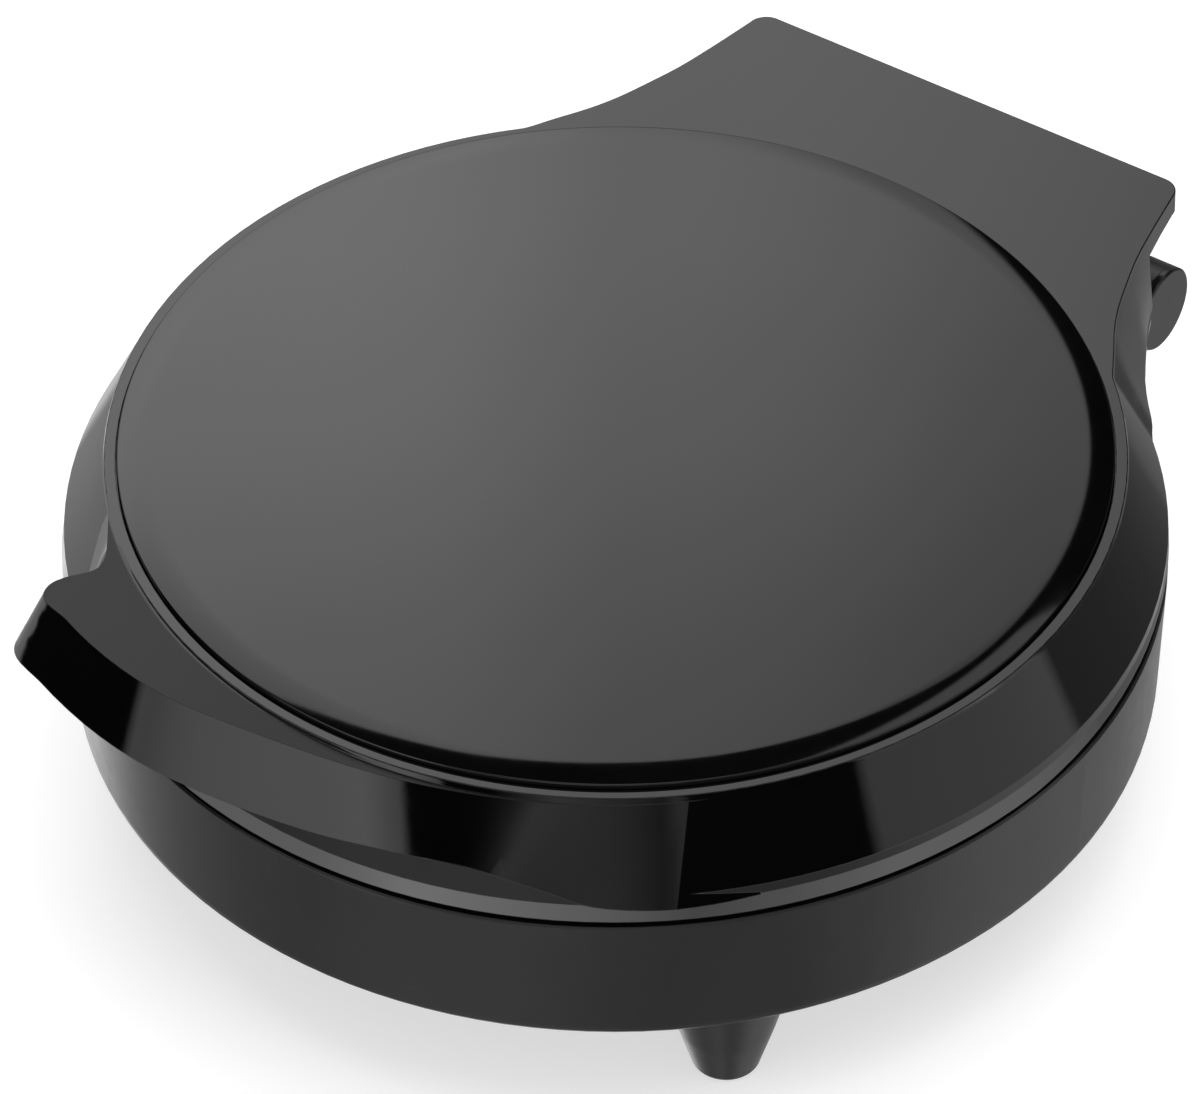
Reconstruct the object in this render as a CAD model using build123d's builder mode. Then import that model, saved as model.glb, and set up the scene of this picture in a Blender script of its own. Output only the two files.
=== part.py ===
from build123d import *
import os
from math import sin, cos, radians, hypot

# Electric pizza maker: a round countertop cooker with a hinged lid.
# +Z is up, -Y is the front (handle), +Y is the rear (hinge), +X is the user's right.
# Millimetres. The floor that the feet stand on is z = 0.

# ---------------------------------------------------------------- driving sizes
U = 151.0            # outer radius of the ring round the top panel
YC = -12.84          # y of the vertical body axis (keeps the whole box centred on the origin)
Z_RING = 118.5       # top of the ring and of the rear neck
Z_BELLY = 90.7       # foot of the bevel of the lid skirt
Z_LID = 81.4         # lower edge of the lid skirt
Z_DECK = 80.2        # top face of the base
Z_BASE = 35.7        # lower edge of the base wall
R_RING = U
R_BEVEL = 164.0      # skirt under the bevel
R_BELLY = 165.0      # flared lip of the skirt, the widest circle
R_LIP = 163.7
R_DECK = 164.4
R_BOT = 163.0
WALL = 2.8           # lid wall
A_SKIRT = 169.0      # rear edge of the lid skirt, from the body axis
A_REAR = 196.0       # rear edge of the neck flange, from the body axis
Z_FLANGE = 111.3     # underside of the neck flange
Z_CEIL = 113.3       # underside of the lid roof
R_RECESS = 147.7     # recess for the top panel
Z_RECESS = 116.2

A_HINGE = 181.8      # hinge axis, from the body axis
Z_HINGE = 80.7
R_EAR = 13.6
X_EAR_IN = 62.0
X_EAR_OUT = 78.7
CAP_T = 2.4
R_KNUCKLE = 12.0
X_BLOCK = 61.5
PIN_R = 5.0
PIN_BORE_R = 5.05
LID_OPEN = 100.0     # degrees of lid travel

R_PLATE = 152.6      # rim of both cooking plates
R_DISH = 145.5       # mouth of the dish
R_FLOOR = 140.0      # flat of the dish
PLATE_T = 3.5
Z_PAN = 69.0         # cooking face of the lower plate
Z_UPAN = 93.0        # cooking face of the upper plate
Z_LRIM = 80.9
Z_URIM = 81.25
ELEM_R = 105.0
TUBE_R = 3.3

FOOT_R = 141.0       # feet, from the body axis
FOOT_ANG = 47.0      # degrees from the front axis
PILLAR_R = 122.0     # plate screws, from the body axis
SURROUND_ANG = [-90, -38, 218, 14, 166, 71, 109]      # screws of the plate surround
COVER_ANG = [-90, -20, 200, 30, 150]                  # screws of the bottom cover
FEET = [-90 + FOOT_ANG, -90 - FOOT_ANG, 90 - FOOT_ANG, 90 + FOOT_ANG]

os.makedirs("parts", exist_ok=True)

YH = YC + A_HINGE    # hinge axis in the part's frame


def level(z):
    return Plane(origin=(0, YC, z), x_dir=(1, 0, 0), z_dir=(0, 0, 1))


SECTION = Plane(origin=(0, YC, 0), x_dir=(1, 0, 0), z_dir=(0, -1, 0))   # local x = radius, local y = z
BODY_AXIS = Axis((0, YC, 0), (0, 0, 1))


def around(r, angles):
    """Points on a circle round the body axis, angles from +X."""
    return [(r * cos(radians(a)), r * sin(radians(a))) for a in angles]


def side_at(x):
    return Plane(origin=(x, YC, 0), x_dir=(0, 1, 0), z_dir=(1, 0, 0))


# ---------------------------------------------------------------- neck outline
# Half width of the rear neck against distance behind the body axis, at the top
# face, in ring radii. It leaves the ring tangentially at 45 degrees.
NECK = [(0.7071, 0.7071), (0.6765, 0.7575), (0.6455, 0.8100), (0.6165, 0.8640),
        (0.5925, 0.9225), (0.5725, 0.9830), (0.5535, 1.0450), (0.5385, 1.1110),
        (0.5255, 1.1780), (0.5130, 1.2480)]
# outward growth of the skirt at its widest level, in ring radii
NECK_OFF = [0.0927, 0.0898, 0.0822, 0.0722, 0.0600, 0.0475, 0.0328, 0.0200, 0.0100, 0.0045]


def normals(pts):
    out = []
    n = len(pts)
    for i in range(n):
        a = pts[max(i - 1, 0)]
        b = pts[min(i + 1, n - 1)]
        tx, ty = b[0] - a[0], b[1] - a[1]
        if i == 0:
            tx, ty = -0.7071, 0.7071
        m = hypot(tx, ty)
        out.append((ty / m, -tx / m))
    return out


def neck_side(ring_r, share, inset=0.0):
    """Right-hand side points of the outline. share scales the outward growth."""
    nn = normals(NECK)
    grow0 = ring_r / U - 1.0 + inset / U
    pts = []
    for i, ((x, y), (nx, ny), o) in enumerate(zip(NECK, nn, NECK_OFF)):
        off = (o * share if i else grow0)
        if share > 0 and i:
            off = o * (grow0 / NECK_OFF[0])
        if share == 0 and i:
            off = 0.0
        pts.append(((x + nx * off) * U - nx * inset, (y + ny * off) * U - ny * inset))
    return pts


def cut_at(pts, y_end):
    """Trim a side to the straight rear edge at y_end."""
    out = []
    for i, p in enumerate(pts):
        if p[1] < y_end - 1.0:
            out.append(p)
        else:
            q = pts[i - 1]
            t = (y_end - q[1]) / (p[1] - q[1])
            out.append((q[0] + (p[0] - q[0]) * t, y_end))
            return out
    q, p = pts[-2], pts[-1]
    t = (y_end - q[1]) / (p[1] - q[1])
    out.append((q[0] + (p[0] - q[0]) * t, y_end))
    return out


def plan_outline(ring_r, share, y_rear, inset=0.0, corner=0.0):
    """Circle in front, concave sides, straight rear edge, drawn as one closed wire."""
    side = cut_at(neck_side(ring_r, share, inset), y_rear - corner)
    r = hypot(*side[0])
    left = [(-x, y) for x, y in side]
    dx, dy = side[-1][0] - side[-2][0], side[-1][1] - side[-2][1]
    ThreePointArc(left[0], (0, -r), side[0])
    Spline(side, tangents=[(-1, 1), (dx, dy)], tangent_scalars=[0.6, 0.6])
    if corner:
        x, y = side[-1]
        k = corner * (1 - 0.7071)
        ThreePointArc((x, y), (x - k - 0.15, y + corner - k), (x - corner - 0.3, y + corner))
        Line((x - corner - 0.3, y + corner), (-x + corner + 0.3, y + corner))
        ThreePointArc((-x + corner + 0.3, y + corner), (-x + k + 0.15, y + corner - k), (-x, y))
    else:
        Line(side[-1], left[-1])
    Spline(left[::-1], tangents=[(dx, -dy), (-1, -1)], tangent_scalars=[0.6, 0.6])


# ---------------------------------------------------------------- handle outline
# A lip that sweeps out from the ring at the left and melts back into the skirt
# at the right. Angles from the front axis, + towards +X; radii in ring radii.
H_ANG = [-31.0, -25.0, -19.5, -14.5, -9.0, -1.0, 5.0, 11.5, 16.0, 21.5, 28.0, 34.0]
H_TOP = [1.158, 1.139, 1.118, 1.095, 1.0665, 1.036, 1.0217, 1.0112, 1.0052, 1.0010, 0.9996, 0.9993, 0.9993]
H_BOT = [1.2480, 1.2290, 1.2110, 1.1910, 1.1665, 1.1405, 1.1335, 1.1300, 1.1290, 1.1235, 1.1035, 1.1003, 1.1003]
# at the crease, and past it, where the lip turns into the skirt
CREASE_T = 41.9
CREASE_B = 39.9
TAIL_TOP = [0.9978, 0.9930]
TAIL_BOT = [1.0960, 1.0895]
H_DEPTH = 30.2       # level difference between the two outlines
# lower edge of the lip seen from the front: x and z
LIP_EDGE = [(-20.0, 96.6), (-2.0, 96.8), (14.0, 97.6), (24.0, 98.3), (34.0, 98.7), (48.0, 98.8), (56.0, 98.3),
            (64.8, 96.4), (72.0, 94.3), (77.7, 92.3), (83.5, 90.3), (92.7, 89.0), (104.5, 88.5), (114.0, 88.5)]
# left side and hook: top outline and outline H_DEPTH lower, mm from the body axis
H_SIDE_T = [(-107.1, -106.8), (-103.4, -112.0), (-99.6, -117.4), (-96.3, -122.8), (-95.0, -127.4)]
H_SIDE_B = [(-116.0, -115.5), (-112.6, -119.2), (-109.6, -122.6), (-107.4, -125.4), (-106.2, -127.8)]
H_HOOK_T = [(-95.0, -127.4), (-96.2, -130.8), (-98.8, -134.0), (-101.4, -137.8)]
H_HOOK_B = [(-106.2, -127.8), (-108.0, -129.4), (-110.6, -132.6), (-113.2, -137.0)]
H_CORNER_T = (-101.6, -145.2)
H_CORNER_B = (-112.0, -154.4)


def polar(r, deg):
    return (r * U * sin(radians(deg)), -r * U * cos(radians(deg)))


def handle_outline(side, hook, corner, radii, crease, tail_radii):
    front = [polar(r, a) for a, r in zip(H_ANG + [crease], radii)]
    tail = [front[-1]] + [polar(r, crease + da) for da, r in zip((4.0, 8.5), tail_radii)]
    end = tail[-1]
    end_in = (end[0] * 0.93, end[1] * 0.93)
    start_in = (-80.0, -80.0)
    Spline(side)
    Spline(hook)
    Spline([hook[-1], corner, front[0]],
           tangents=[(hook[-1][0] - hook[-2][0], hook[-1][1] - hook[-2][1]),
                     (front[1][0] - front[0][0], front[1][1] - front[0][1])])
    Spline(front)
    Spline(tail)
    Polyline([end, end_in, start_in, side[0]])


def pocket_outline(share, inset):
    """Inside of the lip wall at a given share of its depth, as straight runs."""
    front_t = [polar(r, a) for a, r in zip(H_ANG, H_TOP)][:9]
    front_b = [polar(r, a) for a, r in zip(H_ANG, H_BOT)][:9]
    top = H_SIDE_T + H_HOOK_T[1:] + [H_CORNER_T] + front_t
    bot = H_SIDE_B + H_HOOK_B[1:] + [H_CORNER_B] + front_b
    mid = [(p[0] + (q[0] - p[0]) * share, p[1] + (q[1] - p[1]) * share) for p, q in zip(top, bot)]
    pts = []
    for i in range(1, len(mid) - 1):
        tx, ty = mid[i + 1][0] - mid[i - 1][0], mid[i + 1][1] - mid[i - 1][1]
        m = hypot(tx, ty)
        pts.append((mid[i][0] - ty / m * inset, mid[i][1] + tx / m * inset))
    Polyline([(-80, -80)] + pts + [(-80, -80)])


def base_neck(inset):
    """Outline of the neck of the base, closed across the inside of the tub."""
    side = cut_at(neck_side(R_LIP, 1.0), 167.0)
    nn = normals(side)
    pts = [(x - nx * (0.6 + inset), y - ny * (0.6 + inset)) for (x, y), (nx, ny) in zip(side, nn)]
    pts = [(110.5, 112.0)] + [p for p in pts if p[0] < 106 and p[1] > 118][:-1]
    x_end = 80.6 - inset
    pts.append((x_end, 167.0 - inset))
    left = [(-x, y) for x, y in pts]
    Spline(pts)
    Line(pts[-1], left[-1])
    Spline(left[::-1])
    Line(left[0], pts[0])


# ================================================================= LID
with BuildPart() as handle_lip:
    # lip drafted outwards
    with BuildSketch(level(Z_RING)):
        with BuildLine():
            handle_outline(H_SIDE_T, H_HOOK_T, H_CORNER_T, H_TOP, CREASE_T, TAIL_TOP)
        make_face()
    with BuildSketch(level(Z_RING - H_DEPTH)):
        with BuildLine():
            handle_outline(H_SIDE_B, H_HOOK_B, H_CORNER_B, H_BOT, CREASE_B, TAIL_BOT)
        make_face()
    loft(ruled=True)
    # top face just under the ring, falling a little to the front and dipping at the right
    with BuildSketch(Plane(origin=(0, 60, 0), x_dir=(1, 0, 0), z_dir=(0, -1, 0))):
        with BuildLine():
            Spline([(-125, 124.8), (-85, 125.25), (-45, 125.45), (-12, 125.25), (8, 124.9), (24, 124.65),
                    (48, 124.3), (99, 123.25), (135, 122.4)])
            Polyline([(135, 122.4), (135, 60), (-125, 60), (-125, 124.8)])
        make_face()
    extrude(amount=300, dir=(0, -1, -0.035), mode=Mode.INTERSECT)
    # lower edge level, dropping at the right
    with BuildSketch(Plane(origin=(0, 60, 0), x_dir=(1, 0, 0), z_dir=(0, -1, 0))):
        with BuildLine():
            Spline(LIP_EDGE)
            Polyline([LIP_EDGE[-1], (135, 88.8), (135, 130), (-125, 130), (-125, 96.6), LIP_EDGE[0]])
        make_face()
    extrude(amount=300, mode=Mode.INTERSECT)
    # finger pocket under the lip
    with BuildSketch(level(114.6)):
        with BuildLine():
            pocket_outline(0.13, 2.8)
        make_face()
    with BuildSketch(level(92.0)):
        with BuildLine():
            pocket_outline(0.877, 2.8)
        make_face()
    loft(ruled=True, mode=Mode.SUBTRACT)

with BuildPart() as lip_wall:
    # upright wall of the skirt that shows below the lip
    with BuildSketch(level(88.9)):
        Circle(R_BEVEL)
        with BuildLine():
            Polyline([(0, 0), polar(1.7, -38.0), polar(1.7, -3.0), polar(1.7, 32.0), (0, 0)])
        make_face(mode=Mode.INTERSECT)
    extrude(amount=12.0)
    with BuildSketch(Plane(origin=(0, 60, 0), x_dir=(1, 0, 0), z_dir=(0, -1, 0))):
        with BuildLine():
            Spline([(x, z + 0.2) for x, z in LIP_EDGE])
            Polyline([(LIP_EDGE[-1][0], LIP_EDGE[-1][1] + 0.2), (135, 89.0), (135, 60), (-135, 60), (-135, 96.8),
                      (LIP_EDGE[0][0], LIP_EDGE[0][1] + 0.2)])
        make_face()
    extrude(amount=300, mode=Mode.INTERSECT)

with BuildPart() as lid_shell:
    # skirt and neck: ring, shoulder, bevel, upright band, flared lip
    for z, r, share in ((Z_RING, R_RING, 0.0), (117.3, 151.4, 1.0), (92.3, R_BEVEL, 1.0),
                        (88.9, R_BEVEL, 1.0), (83.4, R_BELLY, 1.0), (Z_LID, R_LIP, 1.0)):
        with BuildSketch(level(z)):
            with BuildLine():
                plan_outline(r, share, A_REAR, corner=6.0)
            make_face()
    loft(ruled=True)
    fillet(lid_shell.edges().filter_by(lambda e: abs(e.center().Z - Z_RING) < 0.01
                                       and abs(e.bounding_box().size.Z) < 0.01), 0.3)
    add(handle_lip.part)
    add(lip_wall.part)
    # the neck is only a flange behind the skirt
    with Locations((0, YC + A_SKIRT + 20, (Z_FLANGE + Z_LID - 4) / 2)):
        Box(220, 40, Z_FLANGE - Z_LID + 4, mode=Mode.SUBTRACT)
    # hollow inside, open downwards
    with BuildSketch(level(Z_CEIL)):
        with BuildLine():
            plan_outline(153.6 - WALL, 1.0, A_SKIRT - 2.6, WALL)
        make_face()
    with BuildSketch(level(Z_BELLY)):
        with BuildLine():
            plan_outline(R_BEVEL - WALL, 1.0, A_SKIRT - 2.6, WALL)
        make_face()
    with BuildSketch(level(Z_LID - 1)):
        with BuildLine():
            plan_outline(R_LIP - 0.4 - WALL, 1.0, A_SKIRT - 2.6, WALL)
        make_face()
    loft(ruled=True, mode=Mode.SUBTRACT)
    # the lower edge rises towards the rear
    with BuildSketch(side_at(-200.0)):
        with BuildLine():
            Spline([(-96.0, 80.9), (-75.0, 81.5), (-31.0, 83.2), (-3.0, 84.3), (26.0, 85.5), (54.0, 86.5), (84.0, 86.9)])
            Polyline([(84.0, 86.9), (240.0, 86.9), (240.0, 70.0), (-96.0, 70.0), (-96.0, 80.9)])
        make_face()
    extrude(amount=400.0, mode=Mode.SUBTRACT)
    # open rear, where the hinge ears of the base come in
    with Locations((0, YC + A_SKIRT, (Z_LID + 96.6) / 2 - 1)):
        Box(2 * 82.0, 12, 96.6 - Z_LID + 2, mode=Mode.SUBTRACT)
    # hinge block between the ears
    with BuildSketch(side_at(-X_BLOCK)):
        with BuildLine():
            Polyline([(A_SKIRT - 2.6, 81.9), (A_SKIRT - 2.6, 112.5), (190.0, 112.5),
                      (A_HINGE + R_KNUCKLE, Z_HINGE), (A_HINGE - 4, Z_HINGE - 4), (A_SKIRT - 2.6, 81.9)])
        make_face()
        with Locations((A_HINGE, Z_HINGE)):
            Circle(R_KNUCKLE)
    extrude(amount=2 * X_BLOCK)
    # hollow of the hinge block, with a window into the lid
    with BuildSketch(side_at(-52.0)):
        with BuildLine():
            Polyline([(A_SKIRT, 84.5), (A_SKIRT, 109.8), (187.4, 109.8),
                      (A_HINGE + R_KNUCKLE - 2.8, Z_HINGE), (A_HINGE - 4, Z_HINGE - 1), (A_SKIRT, 84.5)])
        make_face()
        with Locations((A_HINGE, Z_HINGE)):
            Circle(R_KNUCKLE - 2.8)
    extrude(amount=104.0, mode=Mode.SUBTRACT)
    with Locations((0, YC + A_SKIRT - 1, 102.0)):
        Box(70, 8, 11, mode=Mode.SUBTRACT)
    # pin bores in the cheeks
    with Locations((0, YH, Z_HINGE)):
        Cylinder(PIN_BORE_R, 2 * X_BLOCK + 2, rotation=(0, 90, 0), mode=Mode.SUBTRACT)
    # screw pillars for the upper plate
    with BuildSketch(level(104.6)):
        with PolarLocations(PILLAR_R, 4, start_angle=0):
            Circle(6.0)
    extrude(amount=10.0)
    # screw pillars for the plate surround
    with BuildSketch(level(96.3)):
        with Locations(*around(154.0, SURROUND_ANG[:5])):
            Circle(4.2)
    extrude(amount=6.0)
    with BuildSketch(level(96.3)):
        with Locations(*around(154.0, SURROUND_ANG[5:])):
            Circle(4.2)
    extrude(amount=17.5)
    with BuildSketch(level(95.0)):
        with Locations(*around(154.0, SURROUND_ANG)):
            Circle(1.55)
    extrude(amount=6.6, mode=Mode.SUBTRACT)
    # recess for the top panel
    with BuildSketch(level(Z_RECESS)):
        Circle(R_RECESS)
    extrude(amount=10, mode=Mode.SUBTRACT)
    # through holes and head recesses of the upper plate screws
    with BuildSketch(level(90)):
        with PolarLocations(PILLAR_R, 4, start_angle=0):
            Circle(2.15)
    extrude(amount=40, mode=Mode.SUBTRACT)
    with BuildSketch(level(111.0)):
        with PolarLocations(PILLAR_R, 4, start_angle=0):
            Circle(4.3)
    extrude(amount=10, mode=Mode.SUBTRACT)
    # holes for the studs of the top panel
    with BuildSketch(level(110)):
        with PolarLocations(132.0, 6, start_angle=0 + 15):
            Circle(2.3)
    extrude(amount=10, mode=Mode.SUBTRACT)
lid_shell.part.label = "lid_shell"
export_step(lid_shell.part, "parts/lid_shell.step")


with BuildPart() as lid_top_panel:
    # domed disc with a rolled edge, standing a little proud of the ring
    with BuildSketch(SECTION):
        with BuildLine():
            ThreePointArc((0, 123.3), (69.0, 122.734), (138.0, 121.036))
            Bezier((138.0, 121.036), (142.38, 120.892), (146.7, 120.13))
            Bezier((146.7, 120.13), (147.05, 120.065), (147.1, 119.7))
            Polyline([(147.1, 119.7), (147.4, 117.6), (147.4, 116.3), (145.4, 116.3), (145.2, 117.9), (142.8, 118.75),
                      (137.5, 119.2)])
            ThreePointArc((137.5, 119.2), (70.0, 120.92), (0, 121.5))
            Line((0, 121.5), (0, 123.3))
        make_face()
    revolve(axis=BODY_AXIS)
    # studs that pass through the lid roof
    with BuildSketch(level(108.6)):
        with PolarLocations(132.0, 6, start_angle=15):
            Circle(2.0)
    extrude(amount=11.2)
lid_top_panel.part.label = "lid_top_panel"
export_step(lid_top_panel.part, "parts/lid_top_panel.step")

with BuildPart() as panel_retainers:
    with BuildSketch(level(111.9)):
        with PolarLocations(132.0, 6, start_angle=15):
            Circle(5.0)
            Circle(2.05, mode=Mode.SUBTRACT)
    extrude(amount=1.3)
panel_retainers.part.label = "panel_retainers"
export_step(panel_retainers.part, "parts/panel_retainers.step")

with BuildPart() as plate_surround:
    # heat-resistant ring that closes the gap between the upper plate and the skirt
    with BuildSketch(SECTION):
        with BuildLine():
            Polyline([(153.3, 81.7), (159.4, 81.7), (159.5, 84.4), (155.0, 84.6), (154.9, 86.8),
                      (153.3, 86.8), (153.3, 81.7)])
        make_face()
    revolve(axis=BODY_AXIS)
    with BuildSketch(level(84.0)):
        with Locations(*around(154.0, SURROUND_ANG)):
            Circle(3.6)
    extrude(amount=12.2)
    with BuildSketch(level(81.0)):
        Circle(153.2)
    extrude(amount=4.4, mode=Mode.SUBTRACT)
    with BuildSketch(level(81.0)):
        with Locations(*around(154.0, SURROUND_ANG)):
            Circle(1.65)
    extrude(amount=16.0, mode=Mode.SUBTRACT)
    with BuildSketch(level(81.0)):
        with Locations(*around(154.0, SURROUND_ANG)):
            Circle(2.9)
    extrude(amount=9.0, mode=Mode.SUBTRACT)
plate_surround.part.label = "plate_surround"
export_step(plate_surround.part, "parts/plate_surround.step")


def plate_profile(rim_z, rim_t, pan_z, up):
    """Half section of a dished plate. up = +1 dish opens upwards, -1 downwards."""
    t = PLATE_T * up
    Polyline([(0, pan_z), (R_FLOOR - 2.5, pan_z), (R_FLOOR, pan_z + 0.9 * up), (R_DISH - 1.4, rim_z - 1.5 * up),
              (R_DISH + 0.2, rim_z), (R_PLATE - 0.6, rim_z), (R_PLATE, rim_z - 0.6 * up),
              (R_PLATE, rim_z - rim_t * up), (R_DISH + 2.6, rim_z - rim_t * up),
              (R_FLOOR + 3.4, pan_z - 1.6 * up), (R_FLOOR + 1.2, pan_z - t), (0, pan_z - t), (0, pan_z)])


with BuildPart() as upper_plate:
    with BuildSketch(SECTION):
        with BuildLine():
            plate_profile(Z_URIM, 2.6, Z_UPAN, -1)
        make_face()
    revolve(axis=BODY_AXIS)
    with BuildSketch(level(Z_UPAN + PLATE_T - 0.2)):
        with PolarLocations(PILLAR_R, 4):
            Circle(5.0)
    extrude(amount=7.2)
    with BuildSketch(level(97.6)):
        with PolarLocations(PILLAR_R, 4):
            Circle(2.05)
    extrude(amount=10, mode=Mode.SUBTRACT)
upper_plate.part.label = "upper_plate"
export_step(upper_plate.part, "parts/upper_plate.step")

with BuildPart() as lower_plate:
    with BuildSketch(SECTION):
        with BuildLine():
            plate_profile(Z_LRIM, 2.6, Z_PAN, 1)
        make_face()
    revolve(axis=BODY_AXIS)
    with BuildSketch(level(50.6)):
        with PolarLocations(PILLAR_R, 4):
            Circle(5.0)
    extrude(amount=15.1)
    with BuildSketch(level(50.0)):
        with PolarLocations(PILLAR_R, 4):
            Circle(2.05)
    extrude(amount=13.5, mode=Mode.SUBTRACT)
lower_plate.part.label = "lower_plate"
export_step(lower_plate.part, "parts/lower_plate.step")


def element_path(z):
    """One ring of tube with both cold ends turned out to the rear."""
    with BuildLine(level(z)) as path:
        l1 = Line((-8.3, 128.0), (-8.3, 115.2))
        j1 = JernArc(l1 @ 1, l1 % 1, 12.0, -80)
        j2 = JernArc(j1 @ 1, j1 % 1, ELEM_R, 340)
        j3 = JernArc(j2 @ 1, j2 % 1, 12.0, -80)
        Line(j3 @ 1, (j3 @ 1) + (j3 % 1) * 12.8)
    return path


path_lower = element_path(Z_PAN - PLATE_T - TUBE_R - 0.05)
with BuildPart() as lower_heating_element:
    with BuildSketch(Plane(origin=path_lower.wire() @ 0, z_dir=path_lower.wire() % 0)):
        Circle(TUBE_R)
    sweep(path=path_lower.wire())
lower_heating_element.part.label = "lower_heating_element"
export_step(lower_heating_element.part, "parts/lower_heating_element.step")

path_upper = element_path(Z_UPAN + PLATE_T + TUBE_R + 0.05)
with BuildPart() as upper_heating_element:
    with BuildSketch(Plane(origin=path_upper.wire() @ 0, z_dir=path_upper.wire() % 0)):
        Circle(TUBE_R)
    sweep(path=path_upper.wire())
upper_heating_element.part.label = "upper_heating_element"
export_step(upper_heating_element.part, "parts/upper_heating_element.step")


def reflector_profile(z, rim, up):
    """Shallow pan of thin sheet with a turned rim."""
    t = 0.8 * up
    Polyline([(0, z), (132.0, z), (134.0, z + 1.0 * up), (135.5, z + rim * up), (134.7, z + rim * up),
              (133.3, z + 1.6 * up), (131.6, z + t), (0, z + t), (0, z)])


with BuildPart() as lower_reflector:
    with BuildSketch(SECTION):
        with BuildLine():
            reflector_profile(49.6, 10.0, 1)
        make_face()
    revolve(axis=BODY_AXIS)
    with BuildSketch(level(45)):
        with PolarLocations(PILLAR_R, 4):
            Circle(2.4)
        with Locations((0, 127)):
            RectangleRounded(32, 26, 3)
        with Locations((44, 24)):
            RectangleRounded(18, 8, 3)
        with Locations((-44, 24)):
            RectangleRounded(18, 8, 3)
    extrude(amount=8, mode=Mode.SUBTRACT)
lower_reflector.part.label = "lower_reflector"
export_step(lower_reflector.part, "parts/lower_reflector.step")

with BuildPart() as upper_reflector:
    with BuildSketch(SECTION):
        with BuildLine():
            reflector_profile(104.5, 6.0, -1)
        make_face()
    revolve(axis=BODY_AXIS)
    with BuildSketch(level(95)):
        with PolarLocations(PILLAR_R, 4):
            Circle(2.4)
        with Locations((0, 127)):
            RectangleRounded(32, 26, 3)
        with Locations((-44, 24)):
            RectangleRounded(18, 8, 3)
    extrude(amount=12, mode=Mode.SUBTRACT)
upper_reflector.part.label = "upper_reflector"
export_step(upper_reflector.part, "parts/upper_reflector.step")


# straps that hold each heating tube against its plate
with BuildPart() as lower_element_clamps:
    for a in (-135, -45, 45, 135):
        x, y = around(ELEM_R, [a])[0]
        with BuildSketch(Plane(origin=(x, YC + y, 57.4), x_dir=(cos(radians(a)), sin(radians(a)), 0), z_dir=(0, 0, 1))):
            Rectangle(14.0, 9.0)
        extrude(amount=1.2)
        with BuildSketch(Plane(origin=(x, YC + y, 58.0), x_dir=(cos(radians(a)), sin(radians(a)), 0), z_dir=(0, 0, 1))):
            with Locations((-5.6, 0), (5.6, 0)):
                Circle(1.6)
        extrude(amount=7.5)
lower_element_clamps.part.label = "lower_element_clamps"
export_step(lower_element_clamps.part, "parts/lower_element_clamps.step")

with BuildPart() as upper_element_clamps:
    for a in (-135, -45, 45, 135):
        x, y = around(ELEM_R, [a])[0]
        with BuildSketch(Plane(origin=(x, YC + y, 103.2), x_dir=(cos(radians(a)), sin(radians(a)), 0), z_dir=(0, 0, 1))):
            Rectangle(14.0, 9.0)
        extrude(amount=0.5)
        with BuildSketch(Plane(origin=(x, YC + y, 96.5), x_dir=(cos(radians(a)), sin(radians(a)), 0), z_dir=(0, 0, 1))):
            with Locations((-5.6, 0), (5.6, 0)):
                Circle(1.6)
        extrude(amount=6.9)
upper_element_clamps.part.label = "upper_element_clamps"
export_step(upper_element_clamps.part, "parts/upper_element_clamps.step")

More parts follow.
